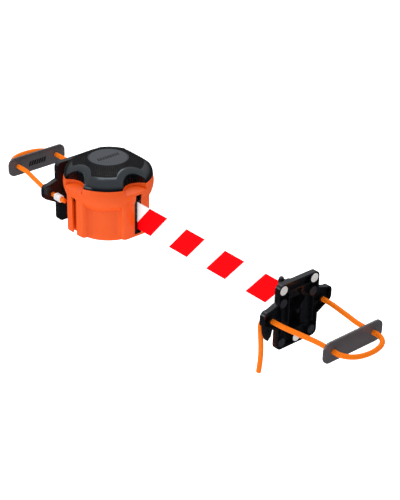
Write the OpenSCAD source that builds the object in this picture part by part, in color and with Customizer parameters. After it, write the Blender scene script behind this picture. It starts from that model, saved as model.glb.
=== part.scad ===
// Retractable tape barrier: a round tape casing hooked on a cord-strap plate, and its tape clipped to
// a second plate like it.
// Origin: centre of the holder plate's post face. +X runs along the tape, +Z is up.

/* [Tape] */
// Width of the barrier tape
tape_w = 50; // [40:1:58]
// Thickness of the barrier tape
tape_t = 0.4; // [0.2:0.1:0.8]
// Tape drawn out at rest, from the casing's face to the clip pin
tape_out = 343; // [80:1:600]
// Offset of the tape's plane to the left of the casing axis
tape_y = 4; // [2:0.5:6]
// Outer radius of the tape wound on the drum
wound_r = 41.5; // [36:0.5:44]

/* [Casing] */
// Outer radius of the casing's straight body
body_r = 62; // [56:1:72]
// How far the flared rim stands out beyond the body
rim_flare = 14; // [12:1:18]
// Wall of the casing
wall = 3; // [2:0.2:3.6]
// Height of the parting line between casing and cap
parting_z = 59; // [56:1:70]
// Height of the rim's widest ring
rim_z = 47.6; // [46.8:0.2:50]
// Height of the casing's underside
bottom_z = -41; // [-50:1:-39]
// Width of the four bosses
boss_w = 48; // [40:1:52]
// How far the boss faces stand out beyond the body
boss_out = 10; // [9:0.5:13]
// Height of the bosses' lower ends
boss_z = -32; // [-36:1:-29]

/* [Cap] */
// Rise of the domed cap above the parting line
dome_h = 29; // [24:1:36]
// Radius of the round badge
badge_r = 32.5; // [26:0.5:36]
// Thickness of the badge
badge_t = 2; // [1.2:0.2:3]
// Radius of each finger scallop
scallop_r = 25.5; // [22:0.5:28]
// Depth of each finger scallop, in from the parting edge
scallop_in = 17.5; // [12:0.5:19]
// Thickness of the grip pad
pad_t = 1; // [0.6:0.1:1.4]

/* [Reel] */
// Outer radius of the drum's hub
hub_r = 30; // [26:0.5:34]
// Outer radius of the reel's flanges
flange_r = 50; // [46:0.5:53]
// Thickness of the reel's flanges
flange_t = 2; // [1.2:0.2:2.4]
// Radius of the spindle
spindle_r = 6; // [5:0.5:7]
// Wall of the bushes
bush_wall = 2.4; // [1.5:0.1:3]
// Thickness of the mainspring's strip
spring_t = 0.6; // [0.4:0.1:1]
// Turns of the mainspring
spring_turns = 6; // [4:1:8]

/* [Plates] */
// Width of each plate without its ears
plate_w = 82.5; // [78:0.5:100]
// Height of each plate
plate_h = 110; // [100:1:130]
// Thickness of each plate
plate_t = 9; // [8:0.5:12]
// Wall round each plate's hollow back
plate_wall = 3; // [2:0.2:4]
// Distance from plate centre to the end of an ear
ear_reach = 70; // [66:0.5:80]
// Diameter of the magnets
magnet_d = 15; // [10:0.5:16]
// Diameter of the rubber pads
foot_d = 14; // [10:0.5:15]

/* [Dock rail] */
// Depth of the block that carries the rail
block_t = 16; // [12:0.5:24]
// Width of the block
block_w = 30; // [28:1:40]
// Width of the rail's neck
neck_w = 10.4; // [8:0.2:14]
// Width of the rail's head
head_w = 21; // [18:0.5:24]
// Thickness of the rail's head
head_t = 4; // [3.6:0.1:4.6]
// Wall in front of the rail's head
lip_t = 3; // [2:0.2:3.4]
// Height of the rail's top, where the casing and the clip hang
rail_top = 35; // [31:1:38]

/* [Cord and strip] */
// Diameter of the elastic cord
cord_d = 8; // [6:0.5:8.4]
// Length of the rubber strip
strip_len = 120; // [106:1:140]
// Height of the rubber strip
strip_h = 34; // [26:1:44]
// Thickness of the rubber strip without its ribs
strip_t = 3; // [2:0.2:5]
// Rise of the holder's cord from plate to strip
holder_rise = 5; // [0:1:8]

/* [Hidden] */
$fn = 48;
cut = 1;                       // overshoot of every cutting solid
gap = 0.3;                     // clearance between pieces that move past each other
bore_gap = 0.05;               // radial running clearance on spindle and pin
face_gap = 0.6;                // gap between a block's face and what docks on it

boss_r = body_r + boss_out;    // radius of the boss faces
rim_r = body_r + rim_flare;
cap_r = rim_r - 1.5;           // radius at the parting line
boss_corner = boss_out - 3.5;  // radius of the bosses' outer corners
boss_fillet = 8;               // radius where a boss meets the round body
slot_z = -27.4;                // tape slot: foot, height and two sides
slot_h = tape_w + 22.6;
slot_y0 = tape_y - 5.3;
slot_y1 = tape_y + 7.3;
axis_x = plate_t + block_t + face_gap + boss_r;
slot_face_x = axis_x + boss_r;
pin_x = slot_face_x + tape_out;

// dock: neck and head cavities of the T slot, and the rail that fills them
slot_neck_w = neck_w + 2 * gap;
slot_head_w = head_w + 2 * gap;
slot_head_t = head_t + 2 * gap;
rail_out = face_gap + lip_t + gap + head_t;

// reel heights, from the tape's place upwards and downwards
tape_z = 6.6 - tape_w / 2;
tape_top = tape_z + tape_w;
flange_gap = 1.6;
reel_z = tape_z - flange_gap - flange_t;
reel_top = tape_top + flange_gap + flange_t;
washer_t = 2;
clip_ring_t = 1.2;
bush_r = spindle_r + bush_wall;
bush_h = 5;
hub_wall = 3;
cover_step = 1;
spindle_z = bottom_z + wall + 1;
spindle_top = parting_z - 7;

// cap
dome_top = parting_z + dome_h;
dome_rise = dome_h / sqrt(1 - pow(badge_r / cap_r, 2)); // height of the dome's curve, carried on to the axis
scallop_c = cap_r - scallop_in + scallop_r;    // distance of a scallop's centre from the axis
scallop_wall = 2;
bevel_z = dome_top - 12;                       // middle of the scallop wall's upper edge
bevel_tilt = 39.5;                             // lean of the bevel above the wall, and its flare
bevel_flare = 0.1;
pad_edge = 12;                                 // smooth band between a scallop and the grip pad
pad_foot = dome_h * 0.66;                      // height of the pad's outer edge above the parting line
pocket_z = parting_z - 11.4;                   // finger pocket below the scallop, in the casing
pocket_floor = 4;
pocket_step = 3.4;                             // height of its wall, below the parting line
pocket_fall = 18;                              // outward fall of its floor
trough_w = 3;                                  // trough along its wall
trough_t = 1.4;
screw_r = 2.95;
screw_head_r = 5.5;
screw_head_t = 4;
screw_z = dome_top - badge_t - 6;

// plates
ear_y = ear_reach - 9;
cord_y = 52;
cord_z = 1;
web_t = 2.5;
socket_r = magnet_d / 2 + 1.6;
magnet_t = 3;
foot_t = 2;
magnet_y = plate_w / 2 - 9.9;
magnet_z = plate_h / 2 - 10;
foot_y = plate_w / 2 - 10.7;
foot_hi = 23;
foot_lo = 11 - plate_h / 2;
block_z = -34;
block_top = rail_top - 10;     // below the casing's flare

// clip
pin_r = 2.4;
loop_r = pin_r + 0.2;          // inside of the tape's loop round the pin
clip_back = pin_x + loop_r + tape_t + gap;
clip_wall = 1.5;
clip_face = clip_back + clip_wall + slot_head_t + lip_t;
clip_w = head_w + 9;
receiver_x = clip_face + face_gap + block_t + plate_t;
lug_r = 5;
lug_gap = 1;
lug_t = 4;

// ---------- shared shapes ----------

function arc(cx, cy, r, a0, a1, n) = [for (i = [0:n]) let (a = a0 + (a1 - a0) * i / n)
    [cx + r * cos(a), cy + r * sin(a)]];

// outline of a strip of thickness t along the points pts
function unit(v) = v / norm(v);
function along(pts, i) = unit(pts[min(i + 1, len(pts) - 1)] - pts[max(i - 1, 0)]);
function ribbon(pts, t) = concat(
    [for (i = [0:len(pts) - 1]) let (d = along(pts, i)) pts[i] + [-d[1], d[0]] * t / 2],
    [for (i = [len(pts) - 1:-1:0]) let (d = along(pts, i)) pts[i] - [-d[1], d[0]] * t / 2]);

module ring(r_out, r_in, z0, z1) {
    translate([0, 0, z0]) difference() {
        cylinder(r = r_out, h = z1 - z0);
        translate([0, 0, -cut]) cylinder(r = r_in, h = z1 - z0 + 2 * cut);
    }
}

module at_axis() { translate([axis_x, 0, 0]) children(); }
module four_ways() { for (a = [0:90:270]) rotate([0, 0, a]) children(); }
module at_holder() { children(); }
module at_receiver() { translate([receiver_x, tape_y, 0]) rotate([0, 0, 180]) children(); }

// cylinder from the post face towards the front, at (y, z) on a plate
module across(y, z, r, x0, x1, fn = 48) {
    translate([x0, y, z]) rotate([0, 90, 0]) cylinder(r = r, h = x1 - x0, $fn = fn);
}

// a flat outline in (y, z), made solid from x0 to x1
module plate_solid(x0, x1) {
    translate([x0, 0, 0]) rotate([90, 0, 90]) linear_extrude(x1 - x0) children();
}

// ---------- casing ----------

// outside of the shell, set in by the distance i
function flare(i) = [for (k = [0:8]) let (t = 90 - k * 11.25)
    [body_r - i + rim_flare * pow(cos(t), 1.3), rim_z - (rim_z - 18.6) * sin(t)]];
function shell_outline(i) = concat(
    [[0, bottom_z + i]],
    arc(body_r - 10.5, bottom_z + 10.5, 10.5 - i, -90, 0, 5),
    flare(i),
    [[cap_r - i, parting_z], [0, parting_z]]);

module shell_solid(i) { rotate_extrude($fn = 96) polygon(shell_outline(i)); }

module scallops(grow, z0, z1) {
    four_ways() translate([scallop_c, 0, z0]) cylinder(r = scallop_r + grow, h = z1 - z0, $fn = 64);
}

// half of a boss's outline: from the round body through a fillet to the side, round the corner to the face
module boss_half() {
    side = boss_w / 2;
    fillet_y = side + boss_fillet;
    fillet_x = sqrt(pow(body_r + boss_fillet, 2) - pow(fillet_y, 2));
    polygon(concat([[0, 0]],
        arc(fillet_x, fillet_y, boss_fillet, 180 + atan2(fillet_y, fillet_x), 270, 8),
        arc(boss_r - boss_corner, side - boss_corner, boss_corner, 90, 0, 8),
        [[boss_r, 0]]));
}

module boss() {
    linear_extrude(rim_z - boss_z) {
        boss_half();
        mirror([0, 1]) boss_half();
    }
}

// T slot for the dock rail, cut inwards from the face at x = 0 and open at the bottom
module t_slot(z0, z1, clear) {
    translate([-lip_t - cut, -slot_neck_w / 2, z0]) cube([lip_t + cut + clear, slot_neck_w, z1 - z0]);
    translate([-lip_t - slot_head_t, -slot_head_w / 2, z0]) cube([slot_head_t, slot_head_w, z1 - z0]);
}

module tape_slot(grow, x0, x1) {
    translate([x0, slot_y0 - grow, slot_z - grow])
        cube([x1 - x0, slot_y1 - slot_y0 + 2 * grow, slot_h + 2 * grow]);
}

// everything above a plane that leans outwards through the scallop wall at height z
module above(z, fall) {
    translate([scallop_c - scallop_r, 0, z]) rotate([0, fall, 0]) translate([-rim_r, -rim_r, 0])
        cube([2 * rim_r, 2 * rim_r, rim_r]);
}

// finger pocket: the scallop carried down into the casing; its floor falls outwards from a trough at the wall
module pockets() {
    z = parting_z - pocket_step;
    h = parting_z + cut - pocket_z;
    four_ways() {
        intersection() {
            translate([scallop_c, 0, pocket_z]) cylinder(r = scallop_r, h = h, $fn = 64);
            above(z, pocket_fall);
        }
        intersection() {
            translate([scallop_c, 0, pocket_z]) difference() {
                cylinder(r = scallop_r, h = h, $fn = 64);
                translate([0, 0, -cut]) cylinder(r = scallop_r - trough_w, h = h + 2 * cut, $fn = 64);
            }
            above(z - trough_t, pocket_fall);
        }
    }
}

module casing_shell() {
    color([0.91, 0.36, 0.15]) at_axis() difference() {
        union() {
            shell_solid(0);
            translate([0, 0, boss_z]) four_ways() boss();
        }
        difference() {
            translate([0, 0, 0.01]) shell_solid(wall);
            translate([0, 0, bottom_z]) cylinder(r = bush_r + 3.6, h = reel_z - washer_t - bottom_z);
            scallops(scallop_wall, pocket_z - pocket_floor, parting_z + cut);
        }
        pockets();
        translate([0, 0, spindle_z]) cylinder(r = spindle_r, h = reel_z - spindle_z);
        for (a = [90, 180, 270]) rotate([0, 0, a]) translate([boss_r, 0, 0])
            t_slot(boss_z - cut, rail_top, rim_r - boss_r + cut);
        tape_slot(0, body_r - 2 * wall, rim_r + cut);
        translate([body_r - 2 * wall, tape_y, slot_z]) cube([2 * wall, 9.6, slot_h]);
    }
}

module slot_liner() {
    x0 = body_r;
    x1 = boss_r + 1;
    color([0.07, 0.07, 0.08]) at_axis() difference() {
        tape_slot(-0.1, x0, x1);
        translate([0, 0, slot_z + 1.4]) linear_extrude(slot_h - 2.8) polygon([
            [x0 - cut, slot_y0 + 1.5], [x0 + 5, slot_y0 + 1.5], [x0 + 7.5, tape_y - 0.7],
            [x1 + cut, tape_y - 0.7], [x1 + cut, tape_y + 4.5], [x0 + 3, slot_y1 - 0.8],
            [x0 - cut, slot_y1 - 0.8]]);
    }
}

// ---------- cap ----------

function dome(i) = [for (k = [0:9]) let (t = k / 9 * acos(badge_r / cap_r))
    [(cap_r - i) * cos(t), parting_z + (dome_rise - i) * sin(t)]];

module dome_solid(i) {
    rotate_extrude($fn = 96) polygon(concat([[0, parting_z]], dome(i), [[0, dome_top - i]]));
}

// scallops with the leaning bevel above them
module scallop_cuts(grow) {
    reach = 3 * scallop_r;
    low = -bevel_flare * scallop_r - grow;
    scallops(grow, pocket_z, dome_top + cut);
    four_ways() translate([scallop_c - scallop_r, 0, bevel_z]) rotate([0, bevel_tilt, 0])
        translate([scallop_r, 0, 0]) rotate_extrude($fn = 96)
            polygon([[0, low], [reach, low + bevel_flare * reach], [reach, rim_r], [0, rim_r]]);
}

// the skin of the dome that the pad covers
module pad_skin() {
    difference() {
        dome_solid(0);
        dome_solid(pad_t);
        translate([0, 0, parting_z - cut]) cylinder(r = badge_r + 1.5, h = dome_h + 2 * cut, $fn = 96);
        translate([0, 0, parting_z - cut]) cylinder(r = rim_r, h = pad_foot + cut);
        scallops(pad_edge, parting_z - cut, dome_top + cut);
    }
}

module top_cap() {
    color([0.13, 0.14, 0.16]) at_axis() difference() {
        union() {
            difference() {
                dome_solid(0);
                scallop_cuts(0);
                difference() {
                    translate([0, 0, -0.01]) dome_solid(wall);
                    scallop_cuts(scallop_wall);
                }
            }
            translate([0, 0, spindle_top]) cylinder(r = 11, h = dome_top - wall - spindle_top + cut);
        }
        pad_skin();
        translate([0, 0, dome_top - badge_t]) cylinder(r = badge_r, h = badge_t + cut, $fn = 96);
        translate([0, 0, screw_z]) cylinder(r = screw_head_r + 0.4, h = 6 + cut);
        translate([0, 0, spindle_top - cut]) cylinder(r = screw_r + 0.3, h = dome_h);
    }
}

module grip_pad() { color([0.10, 0.10, 0.12]) at_axis() pad_skin(); }

module cap_badge() {
    color([0.26, 0.27, 0.30]) at_axis() translate([0, 0, dome_top - badge_t])
        cylinder(r = badge_r - 0.2, h = badge_t, $fn = 96);
}

module cap_screw() {
    color("silver") at_axis() {
        translate([0, 0, screw_z]) difference() {
            cylinder(r = screw_head_r, h = screw_head_t);
            translate([0, 0, screw_head_t - 2]) cylinder(r = 2.5, h = 2 + cut, $fn = 6);
        }
        translate([0, 0, spindle_top - 20]) cylinder(r = screw_r, h = screw_z - spindle_top + 20);
    }
}

// ---------- spindle and reel ----------

module spindle() {
    color("silver") at_axis() difference() {
        translate([0, 0, spindle_z]) cylinder(r = spindle_r, h = spindle_top - spindle_z);
        translate([0, 0, spindle_top - 22]) cylinder(r = screw_r + bore_gap, h = 22 + cut);
    }
}

module thrust_washer() {
    color("goldenrod") at_axis() ring(bush_r + 2.4, spindle_r + bore_gap, reel_z - washer_t, reel_z);
}

module reel_clip_ring() {
    color("silver") at_axis()
        ring(spindle_r + 3, spindle_r + bore_gap, reel_top + gap, reel_top + gap + clip_ring_t);
}

module mainspring() {
    r0 = spindle_r + 0.6;
    r1 = hub_r - hub_wall - 0.6;
    steps = 14 * spring_turns;
    spiral = [for (i = [0:steps]) let (r = r0 + (r1 - r0) * i / steps, a = 360 * spring_turns * i / steps)
        r * [cos(a), sin(a)]];
    color([0.45, 0.47, 0.50]) at_axis() translate([0, 0, reel_z + bush_h + 2])
        linear_extrude(reel_top - reel_z - 2 * bush_h - 4) polygon(ribbon(spiral, spring_t));
}

module reel_drum() {
    color([0.16, 0.17, 0.18]) at_axis() difference() {
        union() {
            translate([0, 0, reel_z]) cylinder(r = flange_r, h = flange_t, $fn = 64);
            translate([0, 0, reel_z]) cylinder(r = hub_r, h = reel_top - reel_z, $fn = 64);
        }
        translate([0, 0, reel_z + flange_t]) cylinder(r = hub_r - hub_wall, h = reel_top - reel_z);
        translate([0, 0, reel_top - flange_t])
            cylinder(r = hub_r - hub_wall + cover_step, h = flange_t + cut);
        translate([0, 0, reel_z - cut]) cylinder(r = bush_r, h = flange_t + 2 * cut);
    }
}

module reel_flange() {
    color([0.20, 0.21, 0.22]) at_axis() ring(flange_r, hub_r + bore_gap, reel_top - flange_t, reel_top);
}

module spring_cover() {
    color([0.20, 0.21, 0.22]) at_axis()
        ring(hub_r - hub_wall + cover_step - bore_gap, bush_r, reel_top - flange_t, reel_top);
}

module reel_bush_lower() {
    color("goldenrod") at_axis() ring(bush_r - 0.02, spindle_r + bore_gap, reel_z, reel_z + bush_h);
}

module reel_bush_upper() {
    color("goldenrod") at_axis() ring(bush_r - 0.02, spindle_r + bore_gap, reel_top - bush_h, reel_top);
}

module wound_tape() {
    color([0.93, 0.90, 0.90]) at_axis() ring(wound_r, hub_r + 0.1, tape_z, tape_top);
}

// ---------- tape and clip ----------

module tape_run() {
    lip_x = slot_face_x - 2;
    reach = norm([lip_x - axis_x, tape_y]);
    coil_r = wound_r + 0.5;
    leave = atan2(tape_y, lip_x - axis_x) + acos(coil_r / reach);
    path = [[axis_x + coil_r * cos(leave), coil_r * sin(leave)], [lip_x - 1, tape_y + 0.65],
        [lip_x, tape_y + 0.2], [lip_x + 1.5, tape_y], [pin_x - loop_r - tape_t / 2, tape_y]];
    color([0.90, 0.05, 0.08]) union() {
        translate([0, 0, tape_z]) linear_extrude(tape_w) polygon(ribbon(path, tape_t));
        translate([pin_x, tape_y, 0]) ring(loop_r + tape_t, loop_r, tape_z, tape_top);
    }
}

module clip_pin() {
    z0 = tape_z - lug_gap - lug_t;
    z1 = tape_top + lug_gap + lug_t;
    color("silver") translate([pin_x, tape_y, 0]) {
        translate([0, 0, z0]) cylinder(r = pin_r, h = z1 - z0);
        translate([0, 0, z1]) rotate_extrude() polygon(concat([[0, 0]], arc(0, 1.2, 4, -asin(0.3), 90, 6)));
    }
}

module tape_clip() {
    z0 = tape_z - lug_gap - lug_t;
    z1 = tape_top + lug_gap;
    top = max(z1 + lug_t, rail_top + clip_wall);
    bevel = 5;
    color([0.09, 0.09, 0.10]) difference() {
        union() {
            translate([0, tape_y, z0]) linear_extrude(top - z0) polygon([[clip_back, -clip_w / 2 + bevel],
                [clip_back + bevel, -clip_w / 2], [clip_face, -clip_w / 2], [clip_face, clip_w / 2],
                [clip_back + bevel, clip_w / 2], [clip_back, clip_w / 2 - bevel]]);
            for (z = [z0, z1]) translate([0, 0, z]) {
                translate([pin_x, tape_y, 0]) cylinder(r = lug_r, h = lug_t);
                translate([pin_x, tape_y - lug_r, 0]) cube([clip_back - pin_x + cut, 2 * lug_r, lug_t]);
            }
        }
        translate([clip_face, tape_y, 0]) t_slot(z0 - cut, rail_top, cut);
        for (z = [z0, z1]) translate([pin_x, tape_y, z - cut])
            cylinder(r = pin_r + bore_gap, h = lug_t + 2 * cut);
    }
}

// ---------- plate and what it carries ----------

module body_outline(i) {
    r = 9 - i;
    y = plate_w / 2 - 9;
    z = plate_h / 2 - 9;
    polygon(concat(arc(y, z, r, 0, 90, 6), arc(-y, z, r, 90, 180, 6), arc(-y, -z, r, 180, 270, 6),
        arc(y, -z, r, 270, 360, 6)));
}

module ear_outline(i) {
    root = plate_w / 2 - 6;
    polygon(concat([[root, -19 + 1.2 * i], [root, 27 - i]], arc(ear_y, 11, 9 - i, 105, 0, 5),
        arc(ear_y, 2, 9 - i, 0, -60, 4), [[plate_w / 2, -19 + 1.2 * i]]));
}

// pointed cleat below the ear on the tail's side
module cleat_outline() {
    polygon([[ear_y - 11, -13], [ear_y + 5, -6], [ear_y + 3, -20], [ear_y - 2, -31], [ear_y - 8, -25]]);
}

module plate() {
    back = plate_t - web_t;
    difference() {
        union() {
            difference() {
                union() {
                    plate_solid(0, plate_t) body_outline(0);
                    plate_solid(0, plate_t) ear_outline(0);
                    mirror([0, 1, 0]) plate_solid(0, plate_t) ear_outline(0);
                    plate_solid(1, plate_t) cleat_outline();
                    translate([plate_t - cut, -block_w / 2, block_z])
                        cube([block_t + cut, block_w, block_top - block_z]);
                }
                plate_solid(-cut, back) body_outline(plate_wall);
                plate_solid(-cut, back) ear_outline(plate_wall);
                mirror([0, 1, 0]) plate_solid(-cut, back) ear_outline(plate_wall);
                translate([back - cut, -block_w / 2 + 3, block_z + 3])
                    cube([block_t + web_t + cut - 3, block_w - 6, block_top - block_z - 6]);
            }
            // rail
            translate([plate_t + block_t, -neck_w / 2, block_z + 6])
                cube([rail_out, neck_w, rail_top - block_z - 6]);
            translate([plate_t + block_t + rail_out - head_t, -head_w / 2, block_z + 6])
                cube([head_t, head_w, rail_top - block_z - 6]);
            // sockets for magnets and pads, cord bosses, latch post
            for (s = [-1, 1]) {
                across(s * magnet_y, magnet_z, socket_r, 0, plate_t);
                across(s * foot_y, foot_hi, foot_d / 2 + 1.2, 0, plate_t);
                across(s * foot_y, foot_lo, foot_d / 2 + 1.2, 0, plate_t);
                across(s * cord_y, cord_z, cord_d / 2 + 3, 0, plate_t);
                translate([1, s * (plate_w / 2 - 9) - 1, -30]) cube([back, 2, 46]);
                translate([1, s * (plate_w / 2 + 4) - 8, -1]) cube([back, 16, 1.6]);
            }
            across(0, foot_lo - 1, socket_r, 0, plate_t);
            across(0, 0, 3.5, 0, plate_t + block_t);
            // ribs of the hollow back
            translate([1, 17, -14]) cube([back, 2.4, 53]);
            translate([1, -plate_w / 2 + 1, 38]) cube([back, plate_w - 2, 1.8]);
            translate([1, -18, -31]) cube([back, 36, 1.8]);
        }
        for (s = [-1, 1]) {
            across(s * magnet_y, magnet_z, magnet_d / 2, -cut, magnet_t);
            across(s * foot_y, foot_hi, foot_d / 2, -cut, foot_t);
            across(s * foot_y, foot_lo, foot_d / 2, -cut, foot_t);
            across(s * cord_y, cord_z, cord_d / 2 + 0.2, -cut, plate_t + cut);
        }
        across(0, foot_lo - 1, magnet_d / 2, -cut, magnet_t);
        across(ear_y - 3, -14, 2.2, -cut, plate_t + cut, 24);
    }
}

// springy finger that clicks behind whatever is hooked on the rail
module latch() {
    path = [[-4.4, -1], [-6, 4], [-10, 8], [-14.5, 12], [-16, 17], [-13, 22], [-8, 26], [-6, 31], [-8, 35]];
    translate([1.5, 0, 0]) rotate([90, 0, 90]) linear_extrude(4.6) polygon(ribbon(path, 1.8));
}

module magnets() {
    for (s = [-1, 1]) across(s * magnet_y, magnet_z, magnet_d / 2 - 0.05, 0, magnet_t);
    across(0, foot_lo - 1, magnet_d / 2 - 0.05, 0, magnet_t);
}

module pads() {
    for (s = [-1, 1], z = [foot_hi, foot_lo]) across(s * foot_y, z, foot_d / 2 - 0.05, 0, foot_t);
}

// ---------- cord, crimp and strip ----------

strip_x = -112;                // distance of the strip behind the post face
strip_y = 41;                  // cord's offset where it passes the strip
// half of the loop behind the post face, from the ear outwards: [distance behind, offset]
half_loop = [[0, 52], [14, 51.5], [28, 50], [44, 47.5], [60, 45], [74, 42.5], [87, 41.2], [100, 41],
    [112, 41], [123, 41], [131, 38.5], [138, 33.5], [144, 25.5], [148, 14]];
// free tail in front of the plate: [x, y, z]
tail = [[9, 52, 1], [14, 52, 0], [19, 52.5, -4], [22, 53.5, -11], [22.5, 54.5, -19], [22, 53.5, -34],
    [22, 52, -50], [22, 51.5, -66], [22, 52.5, -82], [22, 54.5, -97]];
crimp_end = [[44, -52, 1], [32, -52, 1], [20, -52, 1], [9, -52, 1]];

function lift(d, rise) = cord_z + rise * min(d / 87, 1);
function route(rise) = concat(crimp_end,
    [for (p = half_loop) [-p[0], -p[1], lift(p[0], rise)]],
    [[-149.5, 0, lift(150, rise)]],
    [for (i = [len(half_loop) - 1:-1:0]) let (p = half_loop[i]) [-p[0], p[1], lift(p[0], rise)]],
    tail);

// rings of one sweep: each keeps the side direction of the last one
function turned(side, d) = unit(side - d * (side * d));
function sides(pts, i = 0, side = [0, 0, 1]) = i >= len(pts) ? [] :
    let (s = turned(side, along(pts, i))) concat([s], sides(pts, i + 1, s));

module tube(pts, r, n) {
    s = sides(pts);
    last = len(pts) - 1;
    points = [for (i = [0:last], k = [0:n - 1]) let (a = 360 * k / n)
        pts[i] + r * (cos(a) * s[i] + sin(a) * cross(along(pts, i), s[i]))];
    walls = [for (i = [0:last - 1], k = [0:n - 1]) let (a = i * n + k, b = i * n + (k + 1) % n)
        [a, a + n, b + n, b]];
    ends = [[for (k = [0:n - 1]) k], [for (k = [n - 1:-1:0]) last * n + k]];
    polyhedron(points, concat(walls, ends), convexity = 8);
}

module cord(rise) { tube(route(rise), cord_d / 2, 10); }

module crimp() {
    w = cord_d + 2;
    h = cord_d + 3;
    difference() {
        translate([plate_t + 9, -cord_y - w / 2, cord_z - h / 2]) cube([17, w, h]);
        across(-cord_y, cord_z, cord_d / 2 + 0.1, plate_t, plate_t + 30);
    }
}

module strip(rise) {
    pitch = 3;
    ribs = floor((strip_len - 12) / pitch / 2);
    z = cord_z + rise;
    difference() {
        intersection() {
            translate([strip_x - strip_t / 2, -strip_len / 2, z - strip_h / 2]) union() {
                cube([strip_t, strip_len, strip_h]);
                translate([strip_t - 0.5, strip_len / 2, 0]) for (k = [-ribs:ribs])
                    translate([0, k * pitch - 0.7, strip_h - 5]) cube([1.3, 1.4, 5]);
            }
            translate([strip_x - 5, 0, z]) rotate([90, 0, 90]) linear_extrude(10) polygon(concat(
                arc(strip_len / 2 - 12, strip_h / 2 - 12, 12, 0, 90, 8),
                arc(-strip_len / 2 + 12, strip_h / 2 - 12, 12, 90, 180, 8),
                arc(-strip_len / 2 + 12, -strip_h / 2 + 12, 12, 180, 270, 8),
                arc(strip_len / 2 - 12, -strip_h / 2 + 12, 12, 270, 360, 8)));
        }
        for (s = [-1, 1]) across(s * strip_y, z, cord_d / 2 + gap, strip_x - 5, strip_x + 5);
    }
}

module holder_plate() { color([0.08, 0.08, 0.10]) at_holder() plate(); }
module holder_latch() { color([0.12, 0.12, 0.15]) at_holder() latch(); }
module holder_magnets() { color([0.88, 0.87, 0.85]) at_holder() magnets(); }
module holder_pads() { color([0.12, 0.13, 0.16]) at_holder() pads(); }
module holder_cord() { color([1, 0.47, 0.05]) at_holder() cord(holder_rise); }
module holder_crimp() { color("silver") at_holder() crimp(); }
module holder_strip() { color([0.28, 0.27, 0.29]) at_holder() strip(holder_rise); }
module receiver_plate() { color([0.08, 0.08, 0.10]) at_receiver() plate(); }
module receiver_latch() { color([0.12, 0.12, 0.15]) at_receiver() latch(); }
module receiver_magnets() { color([0.88, 0.87, 0.85]) at_receiver() magnets(); }
module receiver_pads() { color([0.12, 0.13, 0.16]) at_receiver() pads(); }
module receiver_cord() { color([1, 0.47, 0.05]) at_receiver() cord(0); }
module receiver_crimp() { color("silver") at_receiver() crimp(); }
module receiver_strip() { color([0.28, 0.27, 0.29]) at_receiver() strip(0); }

casing_shell();
top_cap();
grip_pad();
cap_badge();
cap_screw();
slot_liner();
spindle();
thrust_washer();
reel_clip_ring();
mainspring();
reel_drum();
reel_flange();
spring_cover();
reel_bush_lower();
reel_bush_upper();
wound_tape();
tape_run();
clip_pin();
tape_clip();
holder_plate();
holder_latch();
holder_magnets();
holder_pads();
holder_cord();
holder_crimp();
holder_strip();
receiver_plate();
receiver_latch();
receiver_magnets();
receiver_pads();
receiver_cord();
receiver_crimp();
receiver_strip();
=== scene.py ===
import math

import bmesh
import bpy
from mathutils import Matrix, Vector


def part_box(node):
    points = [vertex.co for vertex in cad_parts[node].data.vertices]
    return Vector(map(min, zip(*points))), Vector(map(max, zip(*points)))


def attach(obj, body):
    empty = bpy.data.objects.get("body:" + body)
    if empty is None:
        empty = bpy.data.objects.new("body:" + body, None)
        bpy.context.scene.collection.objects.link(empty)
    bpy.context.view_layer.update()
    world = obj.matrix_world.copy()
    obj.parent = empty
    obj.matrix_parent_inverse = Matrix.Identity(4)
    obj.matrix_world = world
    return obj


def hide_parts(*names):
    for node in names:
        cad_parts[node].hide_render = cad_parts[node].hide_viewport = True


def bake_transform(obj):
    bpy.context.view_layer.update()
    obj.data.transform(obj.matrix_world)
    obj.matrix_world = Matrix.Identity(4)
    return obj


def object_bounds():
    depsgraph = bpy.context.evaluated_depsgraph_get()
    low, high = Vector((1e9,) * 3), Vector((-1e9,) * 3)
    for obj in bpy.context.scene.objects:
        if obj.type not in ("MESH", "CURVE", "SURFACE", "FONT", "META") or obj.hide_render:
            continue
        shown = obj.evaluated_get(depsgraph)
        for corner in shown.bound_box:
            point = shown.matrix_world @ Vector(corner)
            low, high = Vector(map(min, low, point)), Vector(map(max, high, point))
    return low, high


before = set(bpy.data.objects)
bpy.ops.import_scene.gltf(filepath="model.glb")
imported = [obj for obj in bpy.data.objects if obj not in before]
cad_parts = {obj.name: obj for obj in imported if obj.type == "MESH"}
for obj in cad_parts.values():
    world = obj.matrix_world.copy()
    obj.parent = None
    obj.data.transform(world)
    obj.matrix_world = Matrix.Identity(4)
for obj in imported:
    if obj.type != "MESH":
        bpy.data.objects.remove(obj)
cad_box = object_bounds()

# ----------------------------------------------------------------------------------------------------------
# The studio. White paper well below the barrier, which its two posts would hold up, a white room above it
# that dims towards the horizon, a large soft box overhead and two smaller ones at the front left.
scene = bpy.context.scene
scene.view_settings.view_transform = "Standard"

view_azimuth = math.radians(48.62)
view_elevation = math.radians(28.44)
view_roll = math.radians(1.22)
view_aim = Vector((0.2652, 0.0595, -0.0373))
view_distance = 2.3535

towards = Vector((math.sin(view_azimuth) * math.cos(view_elevation),
                  -math.cos(view_azimuth) * math.cos(view_elevation), math.sin(view_elevation)))
level = Vector((math.cos(view_azimuth), math.sin(view_azimuth), 0))
raised = towards.cross(level)
to_right = level * math.cos(view_roll) + raised * math.sin(view_roll)
to_top = raised * math.cos(view_roll) - level * math.sin(view_roll)
lens = bpy.data.cameras.new("camera")
lens.lens = 102.9
lens.sensor_width = 36
lens.clip_end = 50
camera = bpy.data.objects.new("camera", lens)
scene.collection.objects.link(camera)
camera.matrix_world = Matrix.Translation(view_aim + towards * view_distance) @ Matrix(
    (to_right, to_top, towards)).transposed().to_4x4()
scene.camera = camera


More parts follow.
